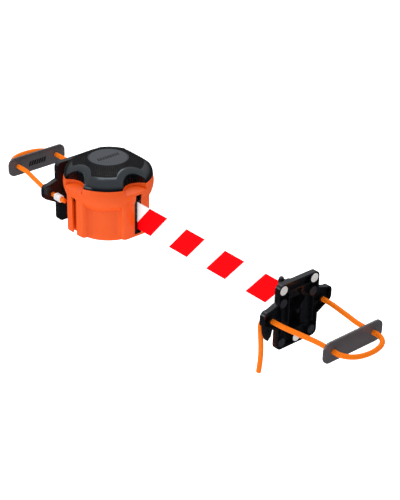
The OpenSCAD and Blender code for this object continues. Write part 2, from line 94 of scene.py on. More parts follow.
def soft_box(name, place, aim, width, watts):
    """A square lamp at a place, turned to what it is aimed at."""
    lamp = bpy.data.lights.new(name, "AREA")
    lamp.shape = "SQUARE"
    lamp.size = width
    lamp.energy = watts
    stand = bpy.data.objects.new(name, lamp)
    stand.location = place
    stand.rotation_euler = (Vector(aim) - Vector(place)).to_track_quat("-Z", "Y").to_euler()
    scene.collection.objects.link(stand)


lamp_aim = (0.25, 0, 0)
soft_box("overhead", (-0.2, 0.3, 1.9), lamp_aim, 1.2, 16)
soft_box("front_left", (-0.9, -1.9, 0.9), lamp_aim, 0.9, 9)
soft_box("low_left", (0.1, -2.3, 0.15), lamp_aim, 0.8, 5)

horizon_strength = 0.04
full_white_from = 0.62
room = bpy.data.worlds.new("room")
room.use_nodes = True
room_tree = room.node_tree
direction = room_tree.nodes.new("ShaderNodeSeparateXYZ")
room_tree.links.new(room_tree.nodes.new("ShaderNodeTexCoord").outputs["Generated"], direction.inputs[0])
horizon = room_tree.nodes.new("ShaderNodeMapRange")
horizon.inputs["From Min"].default_value = 0.0
horizon.inputs["From Max"].default_value = full_white_from
horizon.inputs["To Min"].default_value = horizon_strength
horizon.inputs["To Max"].default_value = 1.0
room_tree.links.new(direction.outputs["Z"], horizon.inputs["Value"])
room_tree.links.new(horizon.outputs[0], room_tree.nodes["Background"].inputs["Strength"])
room_tree.nodes["Background"].inputs["Color"].default_value = (1, 1, 1, 1)
scene.world = room

floor_drop = 0.45
floor_half = 9
paper = bpy.data.materials.new("floor_paper")
paper.use_nodes = True
paper_shader = paper.node_tree.nodes["Principled BSDF"]
paper_shader.inputs["Base Color"].default_value = (0.9, 0.9, 0.9, 1)
paper_shader.inputs["Roughness"].default_value = 0.9
paper_shader.inputs["Emission Color"].default_value = (1, 1, 1, 1)
paper_shader.inputs["Emission Strength"].default_value = 0.75
floor_z = cad_box[0][2] - floor_drop
floor_corners = [(x * floor_half, y * floor_half, floor_z) for x, y in ((-1, -1), (1, -1), (1, 1), (-1, 1))]
floor_mesh = bpy.data.meshes.new("floor")
floor_mesh.from_pydata(floor_corners, [], [(0, 1, 2, 3)])
floor_mesh.materials.append(paper)
floor = bpy.data.objects.new("floor", floor_mesh)
floor.visible_glossy = False
scene.collection.objects.link(floor)

# ----------------------------------------------------------------------------------------------------------
# The elastic cords. Each is one length of 8 mm braided shock cord, threaded out of one ear of its plate,
# round the post and back through the other ear, with a crimped end on one side and a free tail on the other.
cord_d = 0.008
cord_step = 0.003
cord_sides = 20
# Points in millimetres from the middle of the plate's post face. The half loop's give the distance behind
# that face and the distance off the middle, the others x, y and z. A loop starts at ear_level and climbs by
# its rise over the first rise_over behind the face.
half_loop = [(0, 52), (14, 51.5), (28, 50), (44, 47.5), (60, 45), (74, 42.5), (87, 41.2), (100, 41),
             (112, 41), (123, 41), (131, 38.5), (138, 33.5), (144, 25.5), (148, 14)]
loop_end = 149.5
tail = [(9, 52, 1), (14, 52, 0), (19, 52.5, -4), (22, 53.5, -11), (22.5, 54.5, -19), (22, 53.5, -34),
        (22, 52, -50), (22, 51.5, -66), (22, 52.5, -82), (22, 54.5, -97)]
crimp_end = [(44, -52, 1), (32, -52, 1), (20, -52, 1), (9, -52, 1)]
ear_level = 1
rise = {"holder": 5, "receiver": 0}
rise_over = 87
holder_low, holder_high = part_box("holder_plate")
receiver_low, receiver_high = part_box("receiver_plate")
post_face = {"holder": holder_low.x, "receiver": receiver_high.x}
plate_y = {"holder": (holder_low.y + holder_high.y) / 2, "receiver": (receiver_low.y + receiver_high.y) / 2}
facing = {"holder": 1, "receiver": -1}
plates = ("holder", "receiver")


def on_plate(which, point):
    """A point given in millimetres from the centre of a plate's post face, in the frame."""
    x, y, z = (c / 1000 for c in point)
    return Vector((post_face[which] + facing[which] * x, plate_y[which] + facing[which] * y, z))


def cord_route(which):
    """The points of a cord from its crimped end, round the post, to the end of its free tail."""
    def height(behind):
        return ear_level + rise[which] * min(behind / rise_over, 1)
    out = [(-d, -y, height(d)) for d, y in half_loop]
    back = [(-d, y, height(d)) for d, y in reversed(half_loop)]
    middle = (-loop_end, 0, height(loop_end))
    return [on_plate(which, p) for p in [*crimp_end, *out, middle, *back, *tail]]


def through(points, step):
    """Smooth line through the points, with a point every step."""
    line = []
    for i in range(len(points) - 1):
        a, b = points[max(i - 1, 0)], points[i]
        c, d = points[i + 1], points[min(i + 2, len(points) - 1)]
        n = max(1, round((c - b).length / step))
        for k in range(n):
            t = k / n
            line.append(0.5 * (2 * b + (c - a) * t + (2 * a - 5 * b + 4 * c - d) * t * t
                               + (3 * b - a - 3 * c + d) * t ** 3))
    line.append(points[-1].copy())
    return line


def new_piece(name, verts, faces, *materials, smooth=True):
    """A new object in the scene, made of verts and faces."""
    mesh = bpy.data.meshes.new(name)
    mesh.from_pydata([tuple(v) for v in verts], [], faces)
    for material in materials:
        mesh.materials.append(material)
    mesh.validate()
    if smooth:
        mesh.shade_smooth()
    piece = bpy.data.objects.new(name, mesh)
    scene.collection.objects.link(piece)
    return piece


def start_finish(name):
    """A new material: the material, its shader, and short ways to add a node and to join two sockets."""
    material = bpy.data.materials.new(name)
    material.use_nodes = True
    tree = material.node_tree

    def add(kind, **settings):
        node = tree.nodes.new(kind)
        for key, value in settings.items():
            if key in node.inputs:
                node.inputs[key].default_value = value
            else:
                setattr(node, key, value)
        return node
    return material, tree.nodes["Principled BSDF"], add, tree.links.new


def worked_out(add, join, kind, a, b=0.0, c=None):
    """The output of a sum, from sockets or plain numbers."""
    node = add("ShaderNodeMath", operation=kind)
    for socket, value in zip(node.inputs, (a, b, c)):
        if isinstance(value, (int, float)):
            socket.default_value = value
        elif value is not None:
            join(value, socket)
    return node.outputs[0]


def add_blend(add, join, shader, factor, dark, light):
    """Base colour that goes from dark to light with the factor."""
    blend = add("ShaderNodeMix", data_type="RGBA")
    blend.inputs["A"].default_value = (*dark, 1)
    blend.inputs["B"].default_value = (*light, 1)
    join(factor, blend.inputs["Factor"])
    join(blend.outputs["Result"], shader.inputs["Base Color"])
    return blend


def add_bump(add, join, shader, height, strength, depth):
    """Relief from a height socket, its depth in metres."""
    bump = add("ShaderNodeBump", Strength=strength, Distance=depth)
    join(height, bump.inputs["Height"])
    join(bump.outputs[0], shader.inputs["Normal"])


def braid_finish():
    """Bright orange polyester braid over rubber, with half of its carriers wound each way, and painted shade
    down between the carriers.
    """
    carriers, turns_per_diameter = 16, 4.0
    material, shader, add, join = start_finish("cord_braid")
    where = add("ShaderNodeSeparateXYZ")
    join(add("ShaderNodeTexCoord").outputs["UV"], where.inputs[0])
    crossed = []
    for hand in (1, -1):
        turn = worked_out(add, join, "MULTIPLY", where.outputs["X"], carriers / 2 * hand)
        phase = worked_out(add, join, "MULTIPLY_ADD", where.outputs["Y"], turns_per_diameter, turn)
        crossed.append(worked_out(add, join, "SINE", worked_out(add, join, "MULTIPLY", phase, 2 * math.pi)))
    weave = worked_out(add, join, "MAXIMUM", *crossed)
    # Painted shade: the orange is darker where the weave dips between the carriers and lighter on their
    # crowns.
    painted_groove_shade = add("ShaderNodeMapRange", **{"From Min": -0.6, "From Max": 1.0})
    join(weave, painted_groove_shade.inputs["Value"])
    add_blend(add, join, shader, painted_groove_shade.outputs[0], (0.72, 0.115, 0.001), (0.95, 0.205, 0.003))
    add_bump(add, join, shader, weave, 0.4, 0.0003)
    shader.inputs["Roughness"].default_value = 0.6
    shader.inputs["Specular IOR Level"].default_value = 0.12
    return material


def cord_tube(name, line, radius, around, material, cut_end=0.93):
    """Tube along the line, a little thinner at its cut ends. Its UV runs once round it, and by one for each
    diameter of length."""
    verts, faces, runs = [], [], [0.0]
    for a, b in zip(line, line[1:]):
        runs.append(runs[-1] + (b - a).length / (2 * radius))
    last = len(line) - 1
    upright = Vector((0, 0, 1))
    for i, p in enumerate(line):
        along = (line[min(i + 1, last)] - line[max(i - 1, 0)]).normalized()
        upright = (upright - along * upright.dot(along)).normalized()
        sideways = along.cross(upright)
        r = radius * (cut_end if i in (0, last) else 1)
        verts += [p + r * (math.cos(a) * upright + math.sin(a) * sideways)
                  for a in (2 * math.pi * k / around for k in range(around))]
    for i in range(last):
        for k in range(around):
            a, b = i * around + k, i * around + (k + 1) % around
            faces.append((a, b, b + around, a + around))
    faces.append(tuple(range(around - 1, -1, -1)))
    faces.append(tuple(last * around + k for k in range(around)))
    piece = new_piece(name, verts, faces, material)
    uv = piece.data.uv_layers.new(name="along").data
    for f in piece.data.polygons:
        i, k = divmod(f.index, around)
        for corner, (di, dk) in zip(f.loop_indices, ((0, 0), (0, 1), (1, 1), (1, 0))):
            uv[corner].uv = ((k + dk) / around, runs[i + di]) if i < last else (0.5, 0)
    return piece


braid = braid_finish()
cord_lines = {which: through(cord_route(which), cord_step) for which in plates}
cords = {}
for which in plates:
    cords[which] = cord_tube(which + "_shock_cord", cord_lines[which], cord_d / 2, cord_sides, braid)
    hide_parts(which + "_cord")
    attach(cords[which], which)

# ----------------------------------------------------------------------------------------------------------
# The rubber strips. Each is a 3 mm charcoal rubber bar with two punched holes, threaded on the cord's loop,
# that grips the far side of the post with the ribs along its upper edge. A row of plain raised bars marks
# its inside.
bar_count = 7
bar_pitch = 0.0052
bar_h = 0.009
bars_below_middle = 0.002
rib_h = 0.0008


def rounded_copy(node, name, edge, material, segments=2, sharp=32, flat=0.6, weld=2e-6):
    """The CAD node's own shape with its edges rounded, as a mould or a deburring tool leaves them. Corners
    over sharp degrees are rounded, and faces within flat degrees of each other are made one first."""
    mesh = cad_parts[node].data.copy()
    mesh.name = name
    mesh.materials.clear()
    mesh.materials.append(material)
    bm = bmesh.new()
    bm.from_mesh(mesh)
    bmesh.ops.remove_doubles(bm, verts=bm.verts, dist=weld)
    bmesh.ops.dissolve_limit(bm, angle_limit=math.radians(flat), verts=bm.verts, edges=bm.edges)
    for e in bm.edges:
        e.smooth = len(e.link_faces) == 2 and e.calc_face_angle(0) < math.radians(sharp)
    for f in bm.faces:
        f.smooth = True
    bm.to_mesh(mesh)
    bm.free()
    piece = bpy.data.objects.new(name, mesh)
    scene.collection.objects.link(piece)
    bevel = piece.modifiers.new("rounded", "BEVEL")
    bevel.width = edge
    bevel.segments = segments
    bevel.limit_method = "ANGLE"
    bevel.angle_limit = math.radians(sharp)
    bevel.harden_normals = True
    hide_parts(node)
    return piece


def face_outwards(piece):
    """Turns every face of a piece to look outwards."""
    bm = bmesh.new()
    bm.from_mesh(piece.data)
    bmesh.ops.recalc_face_normals(bm, faces=bm.faces)
    bm.to_mesh(piece.data)
    bm.free()


def slanted_bars(name, centre, run, lean, out, count, pitch, height, material):
    """A row of raised, slanted bars: run is the row's direction, lean the bars' own, out is away from the
    face."""
    run, lean, out = Vector(run), Vector(lean), Vector(out)
    half_w = pitch * 0.34
    slant = 0.17
    sunk, proud, edge = 0.0003, 0.00035, 0.0002
    verts, faces = [], []
    for k in range(count):
        at = Vector(centre) + run * pitch * (k - (count - 1) / 2)
        n = len(verts)
        for level_out, inset in ((-sunk, 0), (proud - edge, 0), (proud, edge)):
            for i, j in ((-1, -1), (1, -1), (1, 1), (-1, 1)):
                verts.append(at + run * (i * (half_w - inset) + j * height * slant)
                             + lean * j * (height / 2 - inset) + out * level_out)
        for ring in (0, 4):
            for q in range(4):
                a, b = n + ring + q, n + ring + (q + 1) % 4
                faces.append((a, b, b + 4, a + 4))
        faces += [(n + 3, n + 2, n + 1, n), (n + 8, n + 9, n + 10, n + 11)]
    piece = new_piece(name, verts, faces, material, smooth=False)
    face_outwards(piece)
    return piece


def add_grain(add, join, shader, size, depth):
    """Fine grain in the surface, size and depth in metres."""
    noise = add("ShaderNodeTexNoise", Scale=1 / size, Detail=3.0, Roughness=0.6)
    join(add("ShaderNodeTexCoord").outputs["Object"], noise.inputs["Vector"])
    add_bump(add, join, shader, noise.outputs[0], 0.5, depth)


def add_tone(add, join, shader, dark, light, size, rough):
    """Slow changes of tone and gloss over the surface; size in metres, rough from least to most."""
    cloud = add("ShaderNodeTexNoise", Scale=1 / size, Detail=2.0)
    join(add("ShaderNodeTexCoord").outputs["Object"], cloud.inputs["Vector"])
    add_blend(add, join, shader, cloud.outputs[0], dark, light)
    gloss = add("ShaderNodeMapRange", **{"From Min": 0.3, "From Max": 0.7, "To Min": rough[0],
                                         "To Max": rough[1]})
    join(cloud.outputs[0], gloss.inputs["Value"])
    join(gloss.outputs[0], shader.inputs["Roughness"])


def moulded_finish(name, dark, light, rough, shine, grain=0.0010, depth=0.00006, tone=0.03, metal=0.0,
                   tint=(1, 1, 1)):
    """A moulded, pressed or turned surface: its two tones and how wide they change, its gloss, and the size
    and depth of its grain."""
    material, shader, add, join = start_finish(name)
    add_tone(add, join, shader, dark, light, tone, rough)
    add_grain(add, join, shader, grain, depth)
    shader.inputs["Specular IOR Level"].default_value = shine
    shader.inputs["Metallic"].default_value = metal
    shader.inputs["Specular Tint"].default_value = (*tint, 1)
    return material


mark_black = moulded_finish("mark_black", (0.003, 0.003, 0.004), (0.006, 0.006, 0.007), (0.3, 0.4), 0.2,
                            tone=0.004)
strip_rubber = moulded_finish("strip_rubber", (0.060, 0.057, 0.063), (0.068, 0.065, 0.072), (0.27, 0.32),
                              0.5, grain=0.0012, depth=0.00012, tone=0.02)
for which in plates:
    strip = rounded_copy(which + "_strip", which + "_rubber_strip", 0.0005, strip_rubber)
    low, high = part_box(which + "_strip")
    inside = (high.x if which == "holder" else low.x) - facing[which] * rib_h
    marks_at = (inside, (low.y + high.y) / 2, (low.z + high.z) / 2 - bars_below_middle)
    marks = slanted_bars(which + "_strip_marks", marks_at, run=(0, facing[which], 0), lean=(0, 0, 1),
                         out=(facing[which], 0, 0), count=bar_count, pitch=bar_pitch, height=bar_h,
                         material=mark_black)
    for piece in (strip, marks):
        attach(piece, which + "_strip")

# ----------------------------------------------------------------------------------------------------------
# The crimps. A strip of bright steel folded round the end of the cord and pressed shut, with two pressed
# grooves across it, so the cord can't pull back through the ear.
crimp_corner = 0.0014
crimp_bore_r = cord_d / 2 + 0.0001
crimp_sides = 32
# Places along half of its length, and the share of its full section there: a bevelled end, a groove, the
# middle, a groove and a bevelled end.
crimp_stations = [(-1.0, 0.96), (-0.97, 1.0), (-0.55, 1.0), (-0.5, 0.95), (-0.45, 1.0), (0.45, 1.0),
                  (0.5, 0.95), (0.55, 1.0), (0.97, 1.0), (1.0, 0.96)]


def crimp_finish():
    """Bright pressed steel with a fine grain."""
    material, shader, add, join = start_finish("crimp_steel")
    add_tone(add, join, shader, (0.80, 0.81, 0.82), (0.92, 0.92, 0.93), 0.003, (0.3, 0.42))
    add_grain(add, join, shader, 0.0006, 0.00004)
    shader.inputs["Metallic"].default_value = 0.25
    return material


def to_side(half, share):
    """How far along a spoke a flat side lies, from the spoke's own share in that side's direction."""
    return half / max(abs(share), 1e-6)


crimp_steel = crimp_finish()
spokes = []
for k in range(crimp_sides):
    a = 2 * math.pi * k / crimp_sides
    spokes.append(Vector((0, math.cos(a), math.sin(a))))
for which in plates:
    low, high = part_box(which + "_crimp")
    half_x, half_y, half_z = (high.x - low.x) / 2, (high.y - low.y) / 2, (high.z - low.z) / 2
    middle = Vector(((low.x + high.x) / 2, (low.y + high.y) / 2, (low.z + high.z) / 2))
    verts, faces = [], []
    for t, squeeze in crimp_stations:
        for spoke in spokes:
            reach = min(to_side(half_y - crimp_corner, spoke.y), to_side(half_z - crimp_corner, spoke.z))
            across = (spoke * reach + spoke * crimp_corner) * squeeze
            verts.append(middle + Vector((t * half_x, 0, 0)) + across)
    for t in (1.0, -1.0):
        for spoke in spokes:
            verts.append(middle + Vector((t * half_x, spoke.y * crimp_bore_r, spoke.z * crimp_bore_r)))
    rings = len(crimp_stations) + 2
    for i in range(rings):
        for k in range(crimp_sides):
            here, there = i * crimp_sides, (i + 1) % rings * crimp_sides
            beside = (k + 1) % crimp_sides
            faces.append((here + k, here + beside, there + beside, there + k))
    crimp = new_piece(which + "_cord_crimp", verts, faces, crimp_steel)
    crimp.data.set_sharp_from_angle(angle=math.radians(35))
    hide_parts(which + "_crimp")
    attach(crimp, which)
    line = cord_lines[which]

# ----------------------------------------------------------------------------------------------------------
# The strap plates. Both are the same glossy black nylon moulding: a hollow ribbed plate with two ears, a
# cleat for the tail, and on its front a block with the T rail that the casing or the tape clip hooks on.
nylon = moulded_finish("plate_nylon", (0.0030, 0.0034, 0.0045), (0.0060, 0.0066, 0.0085), (0.12, 0.24),
                       0.36, grain=0.0018, depth=0.00006, tint=(0.85, 0.93, 1.0))
for which in plates:
    plate = rounded_copy(which + "_plate", which + "_strap_plate", 0.0009, nylon, segments=3)
    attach(plate, which)

# ----------------------------------------------------------------------------------------------------------
# What the plates carry: three nickel-plated disc magnets and four rubber feet pressed into their sockets,
# and a springy nylon finger that clicks behind whatever is docked.
nickel = moulded_finish("magnet_nickel", (0.74, 0.735, 0.71), (0.84, 0.83, 0.81), (0.36, 0.5), 0.5,
                        grain=0.0005, depth=0.00002, tone=0.004, metal=0.3)
foot_rubber = moulded_finish("foot_rubber", (0.010, 0.011, 0.015), (0.018, 0.020, 0.026), (0.5, 0.65), 0.35,
                             grain=0.0008, depth=0.00015, tone=0.006)
for which in plates:
    for node, name, edge, material, slot in (
            ("_magnets", "_disc_magnets", 0.0004, nickel, "magnet"),
            ("_pads", "_rubber_feet", 0.0005, foot_rubber, "pad_rubber"),
            ("_latch", "_latch_finger", 0.0004, nylon, "latch_black")):
        piece = rounded_copy(which + node, which + name, edge, material)
        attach(piece, which)

# ----------------------------------------------------------------------------------------------------------
# The casing. One orange ABS moulding: a straight body with a dished bottom, four bosses with the dock slots
# and the tape slot, and a flared rim cut by four finger pockets.
orange_abs = moulded_finish("casing_orange_abs", (0.76, 0.084, 0.004), (0.82, 0.094, 0.006), (0.26, 0.38),
                            0.3, grain=0.0009, depth=0.00005, tone=0.05)
casing = rounded_copy("casing_shell", "orange_casing", 0.0009, orange_abs, segments=3, sharp=34, flat=0.3)
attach(casing, "casing")

# ----------------------------------------------------------------------------------------------------------
# The slot liner. A smooth black acetal bush pressed into the tape slot, whose rounded lip the tape slides
# over.
acetal = moulded_finish("liner_acetal", (0.004, 0.004, 0.005), (0.008, 0.008, 0.009), (0.2, 0.32), 0.35,
                        grain=0.0012, depth=0.00004, tone=0.01)
liner = rounded_copy("slot_liner", "tape_slot_liner", 0.0006, acetal, segments=3)
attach(liner, "casing")

# ----------------------------------------------------------------------------------------------------------
# The cap. A hollow dome of glossy black ABS, whose edge stands on the casing's rim. Four finger scallops
# are cut into it, each with a leaning bevel above its grooved wall.
shell_low, shell_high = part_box("casing_shell")
badge_low, badge_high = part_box("cap_badge")
badge_gap = 0.0002
rim_step = 0.0015
axis = Vector(((badge_low.x + badge_high.x) / 2, 0, 0))
parting_z = shell_high.z
dome_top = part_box("top_cap")[1].z
badge_r = (badge_high.x - badge_low.x) / 2 + badge_gap
cap_r = (shell_high.y - shell_low.y) / 2 - rim_step
dome_rise = (dome_top - parting_z) / math.sqrt(1 - (badge_r / cap_r) ** 2)
scallop_r = 0.0255
scallop_depth = 0.0175
scallop_c = cap_r - scallop_depth + scallop_r
wall_edge_x = scallop_c - scallop_r
wall_edge_z = dome_top - 0.012
bevel_tilt = math.radians(39.5)
bevel_flare = 0.1
bevel_blend = 0.0022
corner_r = 0.0016
groove_pitch = math.radians(7)
groove_depth = 0.0021
groove_narrowing = 2.6
grooves_each_way = 9
points_per_groove = 6
corner_turns = (0.35, 0.8, 1.4, 2.2)
lobe_steps = 22
cap_wall = 0.0026
cap_foot = parting_z - 0.0004
cap_fillet = 0.0009
fillet_fade = 0.002
badge_seat_z = dome_top - 0.002
badge_seat_edge_z = dome_top - 0.0003
screw_hole_r = 0.006
dome_steps = 26
inside_steps = 12


def dome_z(r):
    """Height of the uncut dome at a radius; flat across the badge."""
    return parting_z + dome_rise * math.sqrt(1 - min(max(r, badge_r) / cap_r, 1) ** 2)


def nearest_scallop(angle):
    """The angle from the nearest scallop's direction."""
    return (angle + math.pi / 4) % (math.pi / 2) - math.pi / 4


def bevel_z(r, angle):
    """Height of the shallow cone, leaning outwards, that makes the bevel above a scallop."""
    x, y = r * math.cos(angle) - wall_edge_x, r * math.sin(angle)
    h = 0.0
    for _ in range(3):
        s = (x - h * math.sin(bevel_tilt)) / math.cos(bevel_tilt)
        h = bevel_flare * (math.hypot(s - scallop_r, y) - scallop_r)
    return wall_edge_z - s * math.sin(bevel_tilt) + h * math.cos(bevel_tilt)


def soft_min(a, b, k):
    """The lesser of two heights, rounded where they are within k of each other."""
    h = max(k - abs(a - b), 0) / k
    return min(a, b) - h * h * k / 4


def cap_z(r, angle):
    """Height of the cap's outside."""
    return soft_min(dome_z(r), bevel_z(r, nearest_scallop(angle)), bevel_blend)


def inside_by(r, angle):
    """How far a point lies inside the outline of the rim and the grooved scallops."""
    a = nearest_scallop(angle)
    x, y = scallop_c - r * math.cos(a), r * math.sin(a)
    turn = (math.atan2(y, x) / groove_pitch) % 1
    from_rim = cap_r - r
    groove = groove_depth * max(1 - abs(turn - 0.5) * groove_narrowing, 0)
    from_scallop = math.hypot(x, y) - scallop_r - groove
    both = math.hypot(max(corner_r - from_rim, 0), max(corner_r - from_scallop, 0))
    return max(corner_r, min(from_rim, from_scallop)) - both


def outline_r(angle):
    """Radius of the cap's outline, found by halving."""
    low, high = badge_r, cap_r
    for _ in range(34):
        r = (low + high) / 2
        low, high = (r, high) if inside_by(r, angle) > 0 else (low, r)
    return low


def cap_angles():
    """Angles round the cap, closest together along the scallops."""
    wall = []
    half = grooves_each_way * points_per_groove
    for k in range(-half, half + 1):
        f = groove_pitch * k / points_per_groove
        wall.append(math.atan2(scallop_r * math.sin(f), scallop_c - scallop_r * math.cos(f)))
    corner = [wall[-1] + math.radians(d) for d in corner_turns]
    lobe_end = math.pi / 2 - corner[-1]
    lobe = [corner[-1] + (lobe_end - corner[-1]) * k / lobe_steps for k in range(1, lobe_steps + 1)]
    next_corner = [math.pi / 2 - c for c in corner[2::-1]]
    return [quarter * math.pi / 2 + a
            for quarter in range(4) for a in [*wall, *corner, *lobe, *next_corner]]


def at_axis(r, angle, z):
    """A point at a radius, angle and height round the casing's axis."""
    return axis + Vector((r * math.cos(angle), r * math.sin(angle), z))


def lofted(name, rows, material):
    """A surface through rows of points that each run once round."""
    n = len(rows[0])
    verts = [p for row in rows for p in row]
    faces = [(i * n + k, i * n + (k + 1) % n, (i + 1) * n + (k + 1) % n, (i + 1) * n + k)
             for i in range(len(rows) - 1) for k in range(n)]
    piece = new_piece(name, verts, faces, material)
    face_outwards(piece)
    return piece


cap_black = moulded_finish("cap_black_abs", (0.0025, 0.0029, 0.0040), (0.0040, 0.0047, 0.0062),
                           (0.12, 0.20), 0.55, grain=0.0014, depth=0.00003, tone=0.04,
                           tint=(0.80, 0.91, 1.0))
# Painted shade: the cap's black made darker and duller for the scallop walls, which stand in shade.
groove_painted_shade = moulded_finish("cap_groove_painted_shade", (0.0015, 0.0015, 0.002), (0.0025, 0.0025, 0.003),
                              (0.6, 0.7), 0.05)
angles = cap_angles()
outline = [outline_r(a) for a in angles]
badge_seat = ((screw_hole_r, badge_seat_z), (badge_r, badge_seat_z), (badge_r, badge_seat_edge_z))
rows = [[at_axis(r, a, z) for a in angles] for r, z in badge_seat]
for k in range(dome_steps + 1):
    share = math.sin(math.pi / 2 * k / dome_steps)
    radii = [badge_r + (edge - cap_fillet - badge_r) * share for edge in outline]
    rows.append([at_axis(r, a, cap_z(r, a)) for a, r in zip(angles, radii)])
for turn in (30, 60, 90):
    back = cap_fillet * (1 - math.sin(math.radians(turn)))
    drop = cap_fillet * (1 - math.cos(math.radians(turn)))
    row = []
    for a, edge in zip(angles, outline):
        z = cap_z(edge - back, a) - drop * min((cap_r - edge) / fillet_fade, 1)
        row.append(at_axis(edge - back, a, max(z, cap_foot + 0.0003)))
    rows.append(row)
rows.append([at_axis(edge, a, cap_foot) for a, edge in zip(angles, outline)])
rows.append([at_axis(edge - cap_wall, a, cap_foot) for a, edge in zip(angles, outline)])
for k in range(inside_steps, -1, -1):
    share = math.sin(math.pi / 2 * k / inside_steps)
    radii = [screw_hole_r + (edge - cap_wall - screw_hole_r) * share for edge in outline]
    rows.append([at_axis(r, a, max(cap_z(r, a) - cap_wall, cap_foot + 0.0002))
                 for a, r in zip(angles, radii)])
cap = lofted("domed_cap", rows, cap_black)
# Painted shade: the lowest band of the fillet along the scallops, where the grooved walls stand in
# shade, gets a darker, matt copy of the cap's black.
cap.data.materials.append(groove_painted_shade)
fillet_band = len(badge_seat) + dome_steps + 2
for k, edge in enumerate(outline):
    if edge < cap_r - 0.0006:
        cap.data.polygons[fillet_band * len(outline) + k].material_index = 1
cap.data.set_sharp_from_angle(angle=math.radians(38))
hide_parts("top_cap")
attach(cap, "casing")

# ----------------------------------------------------------------------------------------------------------
# The grip pad. A thin black rubber skin on the dome round the badge, its edge kept back from the scallops,
# covered all over in rows of small round studs.
pad_inner = badge_r + 0.0015
pad_margin = 0.012
pad_foot_share = 0.66
pad_foot_r = cap_r * math.sqrt(1 - (pad_foot_share * (dome_top - parting_z) / dome_rise) ** 2)
pad_spokes = 288
skin, skin_edge, skin_sunk = 0.00025, 0.0001, -0.0008
stud_pitch = 0.0031
stud_row_pitch = stud_pitch * math.cos(math.atan(0.5)) * 0.98
stud_r = 0.00115
stud_h = 0.0011
stud_sides = 6
first_stud_row = 0.0014
pad_rubber = moulded_finish("stipple_rubber", (0.002, 0.002, 0.003), (0.005, 0.005, 0.007), (0.35, 0.5),
                            0.12, grain=0.0006, depth=0.0001, tone=0.01)


def past_margin(r, angle):
    """How far a point lies outside the smooth band round the nearest scallop."""
    a = nearest_scallop(angle)
    return math.hypot(r * math.cos(a) - scallop_c, r * math.sin(a)) - scallop_r - pad_margin


def pad_edge_r(angle):
    """Radius of the pad's outer edge, found by halving."""
    low, high = pad_inner, pad_foot_r
    for _ in range(30):
        r = (low + high) / 2
        low, high = (r, high) if min(past_margin(r, angle), pad_foot_r - r) > 0 else (low, r)
    return low


pad_angles = [2 * math.pi * k / pad_spokes for k in range(pad_spokes)]
pad_edges = [pad_edge_r(a) for a in pad_angles]
pad_profile = [(0, skin_sunk), (0, skin_edge), *[(0.01 + 0.98 * k / 14, skin) for k in range(15)],
               (1, skin_edge), (1, skin_sunk)]
rows = []
for share, lift in pad_profile:
    radii = [pad_inner + (edge - pad_inner) * share for edge in pad_edges]
    rows.append([at_axis(r, a, cap_z(r, a) + lift) for a, r in zip(pad_angles, radii)])
rows.append(rows[0])
pad = lofted("grip_pad_skin", rows, pad_rubber)
bm = bmesh.new()
bm.from_mesh(pad.data)
bmesh.ops.remove_doubles(bm, verts=bm.verts, dist=1e-7)
bm.to_mesh(pad.data)
bm.free()

verts, faces = [], []
nearby = 0.0002
ring_r = pad_inner + first_stud_row
offset = 0.0
while ring_r < pad_foot_r - stud_r:
    count = round(2 * math.pi * ring_r / stud_pitch)
    for k in range(count):
        a = 2 * math.pi * (k + offset) / count
        if pad_edge_r(a) - ring_r < stud_r or abs(past_margin(ring_r, a)) < stud_r * 0.7:
            continue
        foot = at_axis(ring_r, a, cap_z(ring_r, a))
        slope = (cap_z(ring_r + nearby, a) - cap_z(ring_r - nearby, a)) / (2 * nearby)
        up = Vector((-slope * math.cos(a), -slope * math.sin(a), 1)).normalized()
        u = Vector((-math.sin(a), math.cos(a), 0))
        v = up.cross(u)
        n = len(verts)
        for rise_share, r_share in ((0, 1), (0.65, 0.8), (1, 0.4)):
            for q in range(stud_sides):
                b = 2 * math.pi * q / stud_sides
                verts.append(foot + up * stud_h * rise_share
                             + stud_r * r_share * (math.cos(b) * u + math.sin(b) * v))
        for ring in range(2):
            for q in range(stud_sides):
                c, d = n + ring * stud_sides + q, n + ring * stud_sides + (q + 1) % stud_sides
                faces.append((c, c + stud_sides, d + stud_sides, d))
        faces.append(tuple(n + q for q in range(stud_sides)))
        faces.append(tuple(n + 2 * stud_sides + q for q in range(stud_sides - 1, -1, -1)))
    ring_r += stud_row_pitch
    offset = 0.5 - offset
studs = new_piece("grip_pad_studs", verts, faces, pad_rubber)
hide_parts("grip_pad")
for piece in (pad, studs):
    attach(piece, "casing")

# ----------------------------------------------------------------------------------------------------------
# The badge. A satin grey disc pressed into the dome over the cap's screw, marked with a plain row of
# slanted bars.
badge_satin = moulded_finish("badge_satin_grey", (0.019, 0.022, 0.029), (0.027, 0.030, 0.039), (0.36, 0.46),
                             0.5, grain=0.0008, depth=0.00005, tone=0.02, tint=(0.85, 0.93, 1.0))
badge = rounded_copy("cap_badge", "badge_disc", 0.0006, badge_satin, segments=3)
badge_marks = slanted_bars("badge_marks", axis + Vector((0, 0, dome_top)), run=(0, 1, 0), lean=(-1, 0, 0),
                           out=(0, 0, 1), count=9, pitch=0.0050, height=0.0080, material=mark_black)
for piece in (badge, badge_marks):
    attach(piece, "casing")

# ----------------------------------------------------------------------------------------------------------
# The tape. Woven polyester, 50 mm wide and 0.4 mm thick, printed with slanted red stripes on white. It
# comes off the reel through the slot, and its end is sewn in a loop round the clip's pin.
tape_low, tape_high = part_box("tape_run")
pin_low, pin_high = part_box("clip_pin")
pin = Vector(((pin_low.x + pin_high.x) / 2, (pin_low.y + pin_high.y) / 2, 0))
tape_t = 0.0004
slot_face_x = axis.x + 0.072
coil_r = 0.042
inner_steps = 8
straight_steps = 90
loop_r = 0.0028
loop_steps = 22
edge_band_width = 0.0008
hem_fold = 0.0012
flat_from = 0.012
thread_pitch = 0.0006
stripe_pitch = 0.0921
stripe_share = 0.483
stripe_start = 0.2026
stripe_lean = 0.86


